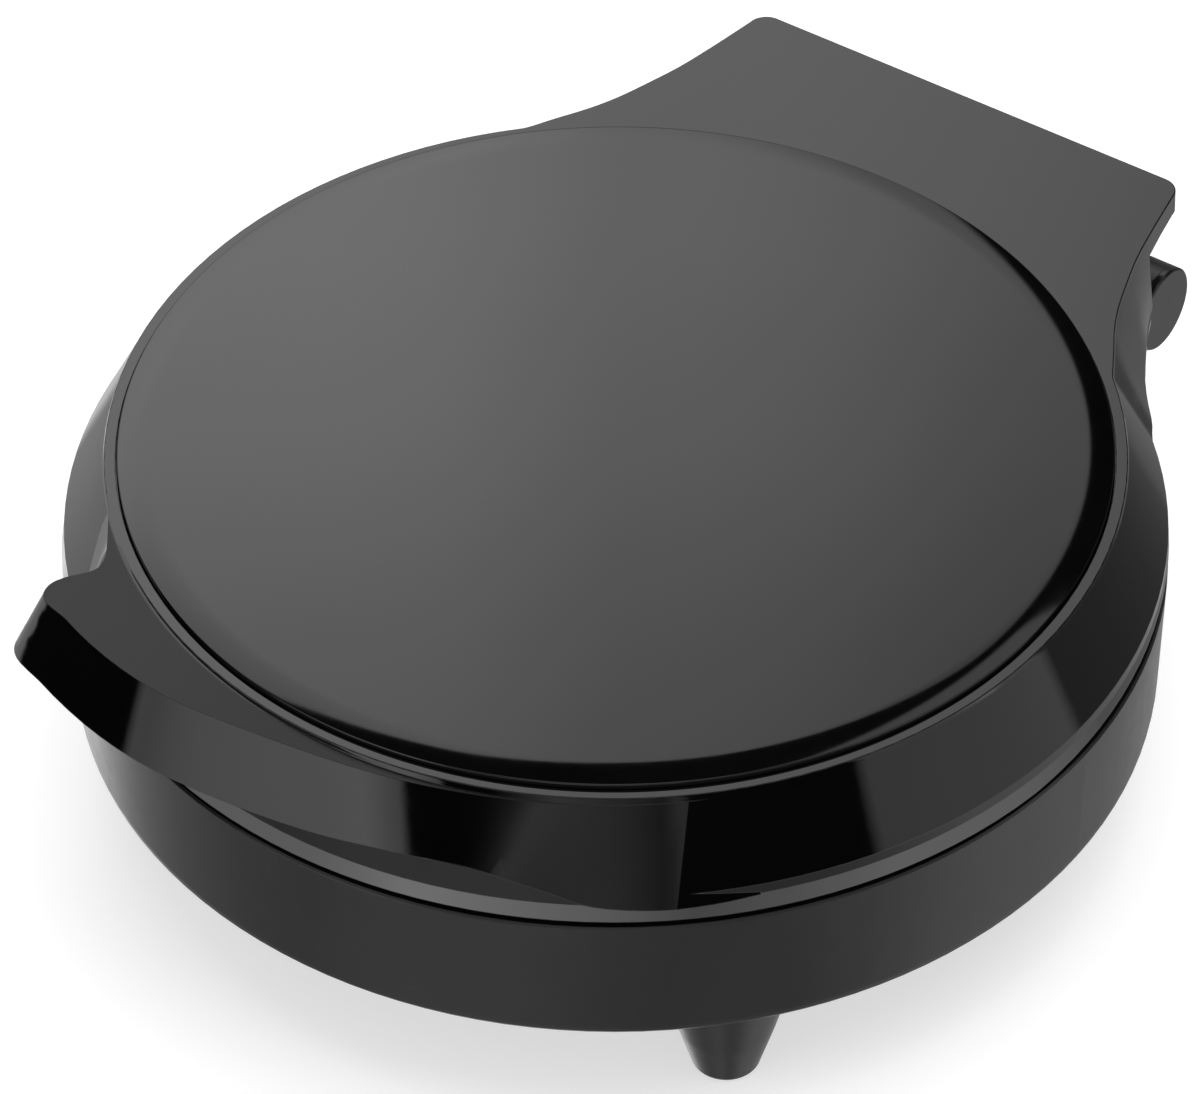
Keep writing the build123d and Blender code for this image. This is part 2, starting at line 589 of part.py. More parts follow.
# ================================================================= BASE
with BuildPart() as base_shell:
    with BuildSketch(SECTION):
        with BuildLine():
            Polyline([(157.9, 36.4), (158.6, Z_BASE), (160.4, Z_BASE), (161.9, 36.2), (162.8, 37.4), (R_BOT + 0.05, 39.0),
                      (R_DECK, 79.4), (163.8, Z_DECK), (153.9, Z_DECK), (153.4, 79.8), (153.4, 78.0), (148.6, 78.0),
                      (148.6, 75.4), (161.4, 75.4), (160.2, 41.4), (155.6, 41.4), (155.6, 38.7), (157.9, 38.7),
                      (157.9, 36.4)])
        make_face()
    revolve(axis=BODY_AXIS)
    # neck under the neck of the lid
    with BuildSketch(level(Z_DECK)):
        with BuildLine():
            base_neck(0.0)
        make_face()
    with BuildSketch(level(52.0)):
        with BuildLine():
            base_neck(2.4)
        make_face()
    loft(ruled=True)
    # central housing below the hinge block
    with BuildSketch(level(40.0)):
        with Locations((0, 168.0)):
            RectangleRounded(118.0, 40.0, 7.0)
    extrude(amount=26.0)
    # hollow of neck and housing
    with BuildSketch(level(54.6)):
        with BuildLine():
            base_neck(2.7)
        make_face()
    extrude(amount=22.4, mode=Mode.SUBTRACT)
    with BuildSketch(level(42.6)):
        with Locations((0, 165.4)):
            RectangleRounded(112.8, 40.0, 4.5)
    extrude(amount=20.8, mode=Mode.SUBTRACT)
    # clear the inside of the tub again
    for z0, z1, r in ((39.0, 41.5, 155.6), (41.4, 75.4, 160.2), (75.3, 78.1, 148.6), (78.0, 82.0, 153.4)):
        with BuildSketch(level(z0)):
            Circle(r)
        extrude(amount=z1 - z0, mode=Mode.SUBTRACT)
    # hinge ears
    for s in (-1, 1):
        with BuildSketch(side_at(X_EAR_IN if s > 0 else -X_EAR_OUT)):
            with Locations((A_HINGE, Z_HINGE)):
                Circle(R_EAR)
            with BuildLine():
                Polyline([(A_HINGE, Z_HINGE - R_EAR), (A_HINGE, Z_HINGE + R_EAR), (168.0, Z_HINGE + R_EAR),
                          (164.6, Z_HINGE + R_EAR - 3.4), (164.6, Z_HINGE - R_EAR), (A_HINGE, Z_HINGE - R_EAR)])
            make_face()
        extrude(amount=X_EAR_OUT - X_EAR_IN)
    # pin seats with a shoulder for the pin head
    with Locations((0, YH, Z_HINGE)):
        Cylinder(PIN_R + 0.03, 2 * 71.8, rotation=(0, 90, 0), mode=Mode.SUBTRACT)
    for s in (-1, 1):
        with Locations((s * (X_EAR_OUT + 70.2) / 2, YH, Z_HINGE)):
            Cylinder(7.2, X_EAR_OUT - 69.8, rotation=(0, 90, 0), mode=Mode.SUBTRACT)
        # lead channel behind the cap
        with Locations((s * 72.2, YC + 168.5, 75.5)):
            Box(5.0, 22.0, 7.0, mode=Mode.SUBTRACT)
    # stop ribs that the open lid leans on
    with Locations((-34, YC + 183.6, 66.6), (34, YC + 183.6, 66.6)):
        Box(22.0, 7.0, 2.6)
    # keep the sweep of the hinge block and of the ears' inner faces free
    with BuildSketch(side_at(-X_EAR_IN)):
        with Locations((A_HINGE, Z_HINGE)):
            Circle(R_KNUCKLE + 0.8)
    extrude(amount=2 * X_EAR_IN, mode=Mode.SUBTRACT)
    # bosses for the bottom cover screws
    with BuildSketch(level(41.0)):
        with Locations(*around(152.6, COVER_ANG)):
            Circle(4.4)
    extrude(amount=10.0)
    with BuildSketch(level(41.0)):
        with Locations(*around(157.6, COVER_ANG)):
            Rectangle(6.0, 5.0)
    extrude(amount=10.0)
    with BuildSketch(level(38.0)):
        with Locations(*around(152.6, COVER_ANG)):
            Circle(1.55)
    extrude(amount=12.0, mode=Mode.SUBTRACT)
    # cord inlet in the rear wall
    with Locations((0, YC + 186.5, 53.0)):
        Cylinder(7.1, 8.0, rotation=(90, 0, 0), mode=Mode.SUBTRACT)
base_shell.part.label = "base_shell"
export_step(base_shell.part, "parts/base_shell.step")

with BuildPart() as bottom_cover:
    with BuildSketch(level(36.4)):
        Circle(157.5)
    extrude(amount=2.2)
    with BuildSketch(level(38.0)):
        with PolarLocations(PILLAR_R, 4):
            Circle(5.6)
    extrude(amount=11.4)
    with BuildSketch(level(38.0)):
        with Locations(*around(FOOT_R, FEET)):
            Circle(6.0)
    extrude(amount=8.5)
    # cooling slots
    with BuildSketch(level(36.0)):
        for r in (46.0, 62.0, 78.0):
            with PolarLocations(r, 12, start_angle=15):
                SlotOverall(13.0, 3.0, rotation=90)
    extrude(amount=4.0, mode=Mode.SUBTRACT)
    with BuildSketch(level(36.0)):
        with PolarLocations(PILLAR_R, 4):
            Circle(2.15)
        with Locations(*around(152.6, COVER_ANG)):
            Circle(1.7)
    extrude(amount=20.0, mode=Mode.SUBTRACT)
    with BuildSketch(level(36.0)):
        with PolarLocations(PILLAR_R, 4):
            Circle(4.3)
    extrude(amount=5.0, mode=Mode.SUBTRACT)
    with BuildSketch(level(36.0)):
        with Locations(*around(FOOT_R, FEET)):
            Circle(2.05)
    extrude(amount=8.0, mode=Mode.SUBTRACT)
bottom_cover.part.label = "bottom_cover"
export_step(bottom_cover.part, "parts/bottom_cover.step")

FOOT_NAMES = ["foot_front_right", "foot_front_left", "foot_rear_right", "foot_rear_left"]
for foot_name, (fx, fy) in zip(FOOT_NAMES, around(FOOT_R, FEET)):
    with BuildPart() as foot:
        with BuildSketch(Plane(origin=(fx, YC + fy, 0), x_dir=(1, 0, 0), z_dir=(0, -1, 0))):
            with BuildLine():
                Polyline([(2.2, 26.5), (2.2, 36.3), (12.0, 36.3), (12.0, Z_BASE - 0.15), (19.5, Z_BASE - 0.15),
                          (14.4, 16.5), (10.35, 2.6)])
                ThreePointArc((10.35, 2.6), (9.35, 1.0), (8.3, 0.6))
                Polyline([(8.3, 0.6), (7.8, 0.6), (7.8, 1.8), (4.6, 1.8), (4.6, 26.5), (2.2, 26.5)])
            make_face()
        revolve(axis=Axis((fx, YC + fy, 0), (0, 0, 1)))
    foot.part.label = foot_name
    export_step(foot.part, "parts/" + foot_name + ".step")

with BuildPart() as foot_pads:
    with BuildSketch(level(0)):
        with Locations(*around(FOOT_R, FEET)):
            Circle(7.6)
    extrude(amount=1.7)
foot_pads.part.label = "foot_pads"
export_step(foot_pads.part, "parts/foot_pads.step")


def pan_head_screws(name, points, z_head, length, head_r, head_t, shank_r, up=1):
    """Cross-recess screws. z_head is the bearing face of the head, up the way the shank points."""
    with BuildPart() as screws:
        with BuildSketch(level(min(z_head, z_head - up * head_t))):
            with Locations(*points):
                Circle(head_r)
        extrude(amount=head_t)
        with BuildSketch(level(min(z_head, z_head + up * length))):
            with Locations(*points):
                Circle(shank_r)
        extrude(amount=length)
        slot_t = head_t * 0.6
        with BuildSketch(level(z_head - head_t if up > 0 else z_head + head_t - slot_t)):
            with Locations(*points):
                Rectangle(head_r * 1.1, head_r * 0.26)
                Rectangle(head_r * 0.26, head_r * 1.1)
        extrude(amount=slot_t, mode=Mode.SUBTRACT)
    screws.part.label = name
    export_step(screws.part, "parts/" + name + ".step")


pan_head_screws("foot_screws", around(FOOT_R, FEET), 26.4, 16.8, 3.9, 2.4, 1.98)
pan_head_screws("bottom_cover_screws", around(152.6, COVER_ANG), 36.35, 12.5, 3.0, 1.6, 1.48)
pan_head_screws("lower_plate_screws", around(PILLAR_R, (0, 90, 180, 270)), 40.9, 20.0, 3.9, 2.4, 1.98)
pan_head_screws("upper_plate_screws", around(PILLAR_R, (0, 90, 180, 270)), 111.1, 13.0, 3.9, 2.4, 1.98, up=-1)
pan_head_screws("surround_screws", around(154.0, SURROUND_ANG), 89.95, 10.5, 2.6, 1.5, 1.45)

# ---------------------------------------------------------------- hinge
for pin_name, s in (("hinge_pin_left", -1), ("hinge_pin_right", 1)):
    with BuildPart() as pin:
        with BuildSketch(Plane(origin=(s * 53.0, YH, Z_HINGE), x_dir=(0, 1, 0), z_dir=(s, 0, 0))):
            Circle(PIN_R)
            Circle(3.3, mode=Mode.SUBTRACT)
        extrude(amount=17.2)
        with BuildSketch(Plane(origin=(s * 70.1, YH, Z_HINGE), x_dir=(0, 1, 0), z_dir=(s, 0, 0))):
            Circle(7.0)
            Circle(3.3, mode=Mode.SUBTRACT)
        extrude(amount=1.4)
    pin.part.label = pin_name
    export_step(pin.part, "parts/" + pin_name + ".step")

for cap_name, s in (("hinge_cap_left", -1), ("hinge_cap_right", 1)):
    with BuildPart() as cap:
        with BuildSketch(Plane(origin=(s * (X_EAR_OUT + 0.02), YH, Z_HINGE), x_dir=(0, 1, 0), z_dir=(s, 0, 0))):
            Circle(R_EAR)
        extrude(amount=CAP_T)
        fillet(cap.edges().filter_by(GeomType.CIRCLE).filter_by(lambda e: abs(e.center().X) > X_EAR_OUT + 1), 0.8)
        with BuildSketch(Plane(origin=(s * (X_EAR_OUT - 1.9), YH, Z_HINGE), x_dir=(0, 1, 0), z_dir=(s, 0, 0))):
            Circle(7.1)
            Circle(5.4, mode=Mode.SUBTRACT)
        extrude(amount=2.0)
    cap.part.label = cap_name
    export_step(cap.part, "parts/" + cap_name + ".step")

# ---------------------------------------------------------------- electrics
with BuildPart() as thermostat:
    with BuildSketch(level(53.2)):
        with Locations((44, 24)):
            Circle(10.5)
    extrude(amount=9.0)
    with BuildSketch(level(62.2)):
        with Locations((44, 24)):
            Circle(12.6)
    extrude(amount=3.2)
    with BuildSketch(level(46.6)):
        with Locations((38.5, 24), (49.5, 24)):
            Rectangle(0.8, 6.3)
    extrude(amount=6.8)
thermostat.part.label = "thermostat"
export_step(thermostat.part, "parts/thermostat.step")

for fuse_name, z0, zdir in (("lower_thermal_fuse", 65.45, -1), ("upper_thermal_fuse", 96.55, 1)):
    with BuildPart() as fuse:
        with BuildSketch(Plane(origin=(-44, YC + 24, z0), x_dir=(1, 0, 0), z_dir=(0, 0, zdir))):
            RectangleRounded(30.0, 10.0, 2.0)
        extrude(amount=0.9)
        with BuildSketch(Plane(origin=(-56, YC + 24, z0 + zdir * 3.3), x_dir=(0, 1, 0), z_dir=(1, 0, 0))):
            Circle(2.7)
        extrude(amount=24.0)
    fuse.part.label = fuse_name
    export_step(fuse.part, "parts/" + fuse_name + ".step")

with BuildPart() as terminal_block:
    with BuildSketch(level(38.65)):
        with Locations((0, 96)):
            Rectangle(38.0, 17.0)
    extrude(amount=9.6)
    with BuildSketch(level(40.0)):
        with Locations((-12, 96), (0, 96), (12, 96)):
            Rectangle(4.6, 20.0)
    extrude(amount=4.6, mode=Mode.SUBTRACT)
    with BuildSketch(level(45.0)):
        with Locations((-12, 92), (0, 92), (12, 92), (-12, 100), (0, 100), (12, 100)):
            Circle(1.7)
    extrude(amount=4.0, mode=Mode.SUBTRACT)
terminal_block.part.label = "terminal_block"
export_step(terminal_block.part, "parts/terminal_block.step")

with BuildPart() as cord_inlet:
    # bush in the rear wall where the supply lead enters
    with BuildSketch(Plane(origin=(0, YC + 183.1, 53.0), x_dir=(1, 0, 0), z_dir=(0, 1, 0))):
        Circle(9.4)
        Circle(3.6, mode=Mode.SUBTRACT)
    extrude(amount=2.2)
    with BuildSketch(Plane(origin=(0, YC + 185.2, 53.0), x_dir=(1, 0, 0), z_dir=(0, 1, 0))):
        Circle(7.0)
        Circle(3.6, mode=Mode.SUBTRACT)
    extrude(amount=3.0)
    with BuildSketch(Plane(origin=(0, YC + 188.1, 53.0), x_dir=(1, 0, 0), z_dir=(0, 1, 0))):
        Circle(9.2)
        Circle(3.6, mode=Mode.SUBTRACT)
    extrude(amount=2.0)
    fillet(cord_inlet.edges().filter_by(GeomType.CIRCLE).sort_by(Axis.Y)[-2:], 0.7)
cord_inlet.part.label = "cord_inlet"
export_step(cord_inlet.part, "parts/cord_inlet.step")

with BuildPart() as cord_clamp:
    # saddle on two posts that grips the lead inside the housing
    with BuildSketch(level(42.65)):
        with Locations((-11, 170), (11, 170)):
            Rectangle(7.0, 9.0)
    extrude(amount=6.6)
    with BuildSketch(level(49.3)):
        with Locations((0, 170)):
            RectangleRounded(30.0, 9.0, 1.5)
    extrude(amount=3.0)
    with BuildSketch(level(42.0)):
        with Locations((-11, 170), (11, 170)):
            Circle(1.55)
    extrude(amount=12.0, mode=Mode.SUBTRACT)
cord_clamp.part.label = "cord_clamp"
export_step(cord_clamp.part, "parts/cord_clamp.step")

pan_head_screws("cord_clamp_screws", [(-11, 170), (11, 170)], 52.35, 9.5, 2.8, 1.6, 1.45, up=-1)


def wire(name, runs):
    """Insulated wires as round tubes along straight runs joined by arcs."""
    with BuildPart() as lead:
        for pts, rad, r in runs:
            with BuildLine() as route:
                FilletPolyline([(x, YC + y, z) for x, y, z in pts], radius=rad)
            with BuildSketch(Plane(origin=route.wire() @ 0, z_dir=route.wire() % 0)):
                Circle(r)
            sweep(path=route.wire())
    lead.part.label = name
    export_step(lead.part, "parts/" + name + ".step")


wire("base_wiring", [
    ([(0, 87.2, 42.3), (0, 70, 42.3), (34, 46, 42.3), (36.6, 33, 44.0), (38.5, 27.0, 44.0), (38.5, 24.0, 45.2)], 1.2, 1.1),
    ([(12, 105.0, 42.3), (12, 118, 42.6), (9.6, 124, 46), (8.6, 130.5, 54), (8.3, 131.8, 62.1), (8.3, 128.2, 62.1)], 1.2, 1.1),
    ([(-12, 105.0, 42.3), (-14, 124, 43.2), (-30, 137, 46), (-50, 146, 59), (-72.4, 152.0, 70), (-72.4, 160.0, 75.5),
      (-72.4, 174.0, 75.5)], 2.5, 1.3),
])
wire("lid_wiring", [
    ([(-73.4, 181.8, 80.7), (-46, 181.8, 80.7), (-38, 178, 90), (-28, 169, 101.6), (-20, 156, 103), (-15, 150, 102.2)], 3.0, 2.2),
    ([(-13.6, 148.0, 102.9), (-8.3, 138, 99.85), (-8.3, 128.2, 99.85)], 2.0, 1.1),
    ([(-12.0, 149.4, 101.3), (8.3, 140, 99.85), (8.3, 128.2, 99.85)], 2.0, 1.1),
])
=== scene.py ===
import bpy
from math import sin, cos, radians, pi
from mathutils import Matrix, Vector


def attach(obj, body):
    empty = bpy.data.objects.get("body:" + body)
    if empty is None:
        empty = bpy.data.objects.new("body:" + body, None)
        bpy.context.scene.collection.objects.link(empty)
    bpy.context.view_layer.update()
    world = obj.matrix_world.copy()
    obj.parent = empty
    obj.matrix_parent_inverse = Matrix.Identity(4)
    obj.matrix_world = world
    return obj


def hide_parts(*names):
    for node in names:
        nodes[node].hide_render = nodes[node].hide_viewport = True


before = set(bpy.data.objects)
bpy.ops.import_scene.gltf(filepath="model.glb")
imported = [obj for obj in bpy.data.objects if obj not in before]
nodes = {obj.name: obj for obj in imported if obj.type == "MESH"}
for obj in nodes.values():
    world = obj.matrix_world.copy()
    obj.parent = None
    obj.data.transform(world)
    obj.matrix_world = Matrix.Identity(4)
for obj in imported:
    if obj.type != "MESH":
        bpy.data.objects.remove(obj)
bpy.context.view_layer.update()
scene = bpy.context.scene
scene.view_settings.view_transform = "Standard"
scene.view_settings.look = "None"

YC = -0.01284          # y of the vertical body axis
Z_RING = 0.1185        # top of the ring

# ---------------------------------------------------------------- camera
UNIT = 0.151
YAW, EL, DIST = 0.595132777, 0.720564193, 16.4659508
PAN, TILT, ROLL, FOCAL = 0.00191691233, 0.012083803, -0.00403234877, 8424.0


def rot(axis, a):
    return Matrix.Rotation(a, 3, axis)


eye = Vector((0, -DIST * cos(EL), DIST * sin(EL)))
fwd = -eye.normalized()
right = Vector((1, 0, 0))
up = right.cross(fwd)
rows = Matrix((right, -up, fwd))
rows = rot("Z", ROLL) @ rot("X", TILT) @ rot("Y", PAN) @ rows
turn = rot("Z", -YAW)                      # object frame to camera-fit frame
rows = rows @ turn
eye_obj = turn.transposed() @ eye
cam_data = bpy.data.cameras.new("camera")
cam = bpy.data.objects.new("camera", cam_data)
scene.collection.objects.link(cam)
axes = Matrix((rows[0], -rows[1], -rows[2])).transposed()
cam.matrix_world = Matrix.Translation(Vector((0, YC, Z_RING)) + eye_obj * UNIT) @ axes.to_4x4()
cam_data.sensor_fit = "HORIZONTAL"
cam_data.sensor_width = 36.0
cam_data.lens = FOCAL * 36.0 / 1200.0
cam_data.clip_start = 0.05
cam_data.clip_end = 100.0
scene.camera = cam


# ---------------------------------------------------------------- node helpers
class Tree:
    def __init__(self, tree):
        self.t = tree
        for n in list(tree.nodes):
            tree.nodes.remove(n)

    def node(self, kind, **props):
        n = self.t.nodes.new(kind)
        for k, v in props.items():
            setattr(n, k, v)
        return n

    def link(self, a, b):
        self.t.links.new(a, b)

    def put(self, socket, value):
        if hasattr(value, "is_output"):
            self.t.links.new(value, socket)
        else:
            socket.default_value = value

    def math(self, op, a, b=None, c=None, clamp=False):
        n = self.node("ShaderNodeMath", operation=op, use_clamp=clamp)
        for s, v in zip(n.inputs, (a, b, c)):
            if v is not None:
                self.put(s, v)
        return n.outputs[0]

    def mapr(self, v, a, b, c, d, smooth=False):
        n = self.node("ShaderNodeMapRange", clamp=True,
                      interpolation_type="SMOOTHSTEP" if smooth else "LINEAR")
        for s, x in zip(n.inputs, (v, a, b, c, d)):
            self.put(s, x)
        return n.outputs[0]

    def ramp(self, fac, stops, mode="LINEAR"):
        n = self.node("ShaderNodeValToRGB")
        cr = n.color_ramp
        cr.interpolation = mode
        while len(cr.elements) > 1:
            cr.elements.remove(cr.elements[-1])
        for i, (p, c) in enumerate(stops):
            e = cr.elements[0] if i == 0 else cr.elements.new(p)
            e.position = p
            e.color = c if len(c) == 4 else (*c, 1.0)
        self.put(n.inputs[0], fac)
        return n.outputs[0]

    def mixc(self, fac, a, b, blend="MIX"):
        n = self.node("ShaderNodeMix", data_type="RGBA", blend_type=blend)
        self.put(n.inputs[0], fac)
        self.put(n.inputs[6], a if hasattr(a, "is_output") or len(a) == 4 else (*a, 1.0))
        self.put(n.inputs[7], b if hasattr(b, "is_output") or len(b) == 4 else (*b, 1.0))
        return n.outputs[2]

    def mixf(self, fac, a, b):
        n = self.node("ShaderNodeMix", data_type="FLOAT")
        self.put(n.inputs[0], fac)
        self.put(n.inputs[2], a)
        self.put(n.inputs[3], b)
        return n.outputs[0]


# ---------------------------------------------------------------- studio
# The studio is a set of soft boxes and dark gaps around the object, written by
# bearing. Bearings run from the camera's side, positive to its right.
BEARING_X = Vector((sin(YAW), -cos(YAW), 0))
BEARING_Y = Vector((cos(YAW), sin(YAW), 0))

world = bpy.data.worlds.new("studio")
scene.world = world
world.use_nodes = True
w = Tree(world.node_tree)
coord = w.node("ShaderNodeTexCoord").outputs["Generated"]


def dot(t, v, d):
    n = t.node("ShaderNodeVectorMath", operation="DOT_PRODUCT")
    t.link(v, n.inputs[0])
    n.inputs[1].default_value = d
    return n.outputs["Value"]


bx, by, bz = dot(w, coord, BEARING_X), dot(w, coord, BEARING_Y), dot(w, coord, (0, 0, 1))
bearing = w.math("MULTIPLY_ADD", w.math("ARCTAN2", by, bx), 0.5 / pi, 0.5)       # -180..180 -> 0..1
height = w.math("MULTIPLY_ADD", w.math("ARCSINE", bz), 1.0 / pi, 0.5)            # -90..90 -> 0..1


def bearings(table):
    return [((a + 180.0) / 360.0, (v / 4.0,) * 3) for a, v in table]


def heights(table):
    return [((a + 90.0) / 180.0, (v / 4.0,) * 3) for a, v in table]


def levels(table):
    return [((a + 180.0) / 360.0, (sin(radians(v)) * 0.5 + 0.5,) * 3) for a, v in table]


# soft boxes and gaps near the horizon
LOW = [(-180, 0.2), (-165, 0.3), (-145, 0.5), (-121, 0.8), (-119, 0.0), (-74, 0.0), (-72.5, 1.0), (-69, 0.95),
       (-56, 1.5), (-41, 1.9), (-37, 1.3), (-34.9, 1.1), (-34.2, 0.0), (-24, 0.0), (-19, 0.22), (-12, 0.66), (-8, 0.6),
       (-1, 0.43), (5, 0.28), (9.5, 0.15), (10.6, 0.5), (12.4, 0.5), (13.3, 0.03), (14, 0.0), (47, 0.0), (48.5, 0.8),
       (92.3, 0.85), (93.5, 0.2), (128, 0.17), (180, 0.2)]
# bright ground between table and horizon
GROUND = [(-180, 0.2), (-165, 0.3), (-145, 0.6), (-121, 0.9), (-100, 1.2), (-80, 1.6), (-60, 2.0), (-50, 2.5), (-40, 3.3), (-34, 3.3),
          (-10, 2.5), (0, 2.1), (14, 1.3), (30, 1.6), (54, 2.2), (82, 1.6), (109, 0.6), (136, 0.35), (150, 0.25),
          (180, 0.2)]
GROUND_TOP = [(-180, -14), (80, -14), (95, -27), (170, -27), (180, -14)]
# pale table top below the horizon
TABLE = [(-180, 0.5), (-168, 0.7), (-158, 1.35), (-143, 1.2), (-126, 0.52), (-108, 0.39), (-76, 0.3), (-52, 0.5),
         (-20, 0.56), (8, 0.37), (44, 0.40), (80, 0.72), (108, 0.57), (125, 0.46), (148, 0.42), (180, 0.5)]
# large box behind the object, by height, its reach by bearing and its upper edge by bearing
BACK = [(0, 1.4), (21.5, 1.7), (30, 2.2), (37.5, 2.56), (41.3, 2.4), (44.9, 1.95), (48, 1.7), (60, 1.5), (90, 1.5)]
REACH = [(-180, 3.05), (-176.7, 4.0), (-130, 3.6), (-121, 3.0), (-117, 0.0), (169.2, 0.0), (170.2, 1.75), (173.4, 1.85), (176.3, 2.65),
         (178.4, 2.98), (180, 3.05)]
BACK_TOP = [(-180, 48.8), (-175.2, 52.2), (-168, 54), (-160, 55), (-117, 57), (0, 48), (165, 48), (180, 48.8)]
# second box, high on the right
SIDE = [(-180, 0), (119, 0), (121, 1.0), (164.4, 1.0), (165.2, 0), (180, 0)]
# weak fill in front of the object, above the low boxes
FRONT = [(-180, 0), (-105, 0), (-85, 0.7), (85, 0.7), (105, 0), (180, 0)]

low = w.ramp(bearing, bearings(LOW))
ground = w.ramp(bearing, bearings(GROUND))
table = w.ramp(bearing, bearings(TABLE))
back = w.ramp(height, heights(BACK))
reach = w.ramp(bearing, bearings(REACH))
high = w.mixc(1.0, back, reach, "MULTIPLY")
half = w.math("MULTIPLY_ADD", bz, 0.5, 0.5)
over = w.math("SUBTRACT", half, w.ramp(bearing, levels(BACK_TOP)))
high = w.mixc(w.mapr(over, -0.0025, 0.0025, 0.0, 1.0, True), high, (0, 0, 0))
side = w.ramp(bearing, bearings(SIDE))
up_side = w.math("MULTIPLY", w.mapr(bz, sin(radians(47.6)), sin(radians(48.6)), 0.0, 1.0, True),
                 w.mapr(bz, sin(radians(66)), sin(radians(74)), 1.0, 0.0, True))
high = w.mixc(up_side, high, side, "ADD")
front_fill = w.math("MULTIPLY", w.mapr(bz, sin(radians(20)), sin(radians(28)), 0.0, 1.0, True),
                    w.mapr(bz, sin(radians(58)), sin(radians(70)), 1.0, 0.0, True))
high = w.mixc(front_fill, high, w.ramp(bearing, bearings(FRONT)), "ADD")
# soft box right overhead
high = w.mixc(w.mapr(bz, sin(radians(74)), sin(radians(83)), 0.0, 1.0, True), high, (0.4, 0.4, 0.4), "ADD")
f_high = w.mapr(bz, sin(radians(15)), sin(radians(21)), 0.0, 1.0, True)
under = w.math("SUBTRACT", half, w.ramp(bearing, levels(GROUND_TOP)))
f_table = w.mapr(bz, sin(radians(-37)), sin(radians(-32)), 1.0, 0.0, True)
env = w.mixc(f_high, low, high)
env = w.mixc(w.mapr(under, -0.012, 0.012, 1.0, 0.0, True), env, ground)
env = w.mixc(f_table, env, table)
env_bg = w.node("ShaderNodeBackground")
w.link(env, env_bg.inputs[0])
env_bg.inputs[1].default_value = 4.0
pale_bg = w.node("ShaderNodeBackground")
pale_bg.inputs[0].default_value = (0.95, 0.95, 0.95, 1)
ray = w.node("ShaderNodeLightPath")
mix = w.node("ShaderNodeMixShader")
w.link(ray.outputs["Is Camera Ray"], mix.inputs[0])
w.link(env_bg.outputs[0], mix.inputs[1])
w.link(pale_bg.outputs[0], mix.inputs[2])
out = w.node("ShaderNodeOutputWorld")
w.link(mix.outputs[0], out.inputs[0])

# overhead soft light for the matte surfaces, left out of the reflections
for name, loc, size, power in (("overhead", (0.1, 0.2, 1.6), 2.2, 26.0),):
    ld = bpy.data.lights.new(name, "AREA")
    ld.shape = "DISK"
    ld.size = size
    ld.energy = power
    lo = bpy.data.objects.new(name, ld)
    scene.collection.objects.link(lo)
    lo.location = loc
    lo.rotation_euler = (Vector(loc)).to_track_quat("Z", "Y").to_euler()
    lo.visible_glossy = False
    lo.visible_camera = False

# floor
fm = bpy.data.meshes.new("floor")
R = 8.0
fm.from_pydata([(-R, -R, 0), (R, -R, 0), (R, R, 0), (-R, R, 0)], [], [(0, 1, 2, 3)])
floor = bpy.data.objects.new("floor", fm)
scene.collection.objects.link(floor)
floor.visible_glossy = False
mf = bpy.data.materials.new("floor")
mf.use_nodes = True
t = Tree(mf.node_tree)
p = t.node("ShaderNodeBsdfDiffuse")
p.inputs[0].default_value = (0.5, 0.5, 0.5, 1)
e = t.node("ShaderNodeEmission")
e.inputs[0].default_value = (1, 1, 1, 1)
e.inputs[1].default_value = 0.62
add = t.node("ShaderNodeAddShader")
t.link(p.outputs[0], add.inputs[0])
t.link(e.outputs[0], add.inputs[1])
tr = t.node("ShaderNodeBsdfTransparent")
geo = t.node("ShaderNodeNewGeometry")
mx = t.node("ShaderNodeMixShader")
t.link(geo.outputs["Backfacing"], mx.inputs[0])
t.link(add.outputs[0], mx.inputs[1])
t.link(tr.outputs[0], mx.inputs[2])
o = t.node("ShaderNodeOutputMaterial")
t.link(mx.outputs[0], o.inputs[0])
fm.materials.append(mf)


# ---------------------------------------------------------------- materials
def begin(name):
    m = bpy.data.materials.new(name)
    m.use_nodes = True
    t = Tree(m.node_tree)
    b = t.node("ShaderNodeBsdfPrincipled")
    o = t.node("ShaderNodeOutputMaterial")
    t.link(b.outputs[0], o.inputs[0])
    at = t.node("ShaderNodeTexCoord").outputs["Object"]
    return m, t, b, at


def noise(t, at, scale, detail=2.0, rough=0.5, stretch=None):
    if stretch:
        mp = t.node("ShaderNodeMapping")
        t.link(at, mp.inputs[0])
        mp.inputs["Scale"].default_value = stretch
        at = mp.outputs[0]
    n = t.node("ShaderNodeTexNoise")
    t.link(at, n.inputs["Vector"])
    n.inputs["Scale"].default_value = scale
    n.inputs["Detail"].default_value = detail
    n.inputs["Roughness"].default_value = rough
    return n.outputs["Fac"]


def bump(t, b, layers, soft=0.0):
    """layers: (height output, strength, distance in metres); soft: radius of the edge highlight"""
    last = None
    if soft:
        bv = t.node("ShaderNodeBevel", samples=4)
        bv.inputs["Radius"].default_value = soft
        last = bv.outputs[0]
    for h, strength, dist in layers:
        n = t.node("ShaderNodeBump")
        n.inputs["Strength"].default_value = strength
        n.inputs["Distance"].default_value = dist
        t.link(h, n.inputs["Height"])
        if last is not None:
            t.link(last, n.inputs["Normal"])
        last = n.outputs[0]
    t.link(last, b.inputs["Normal"])


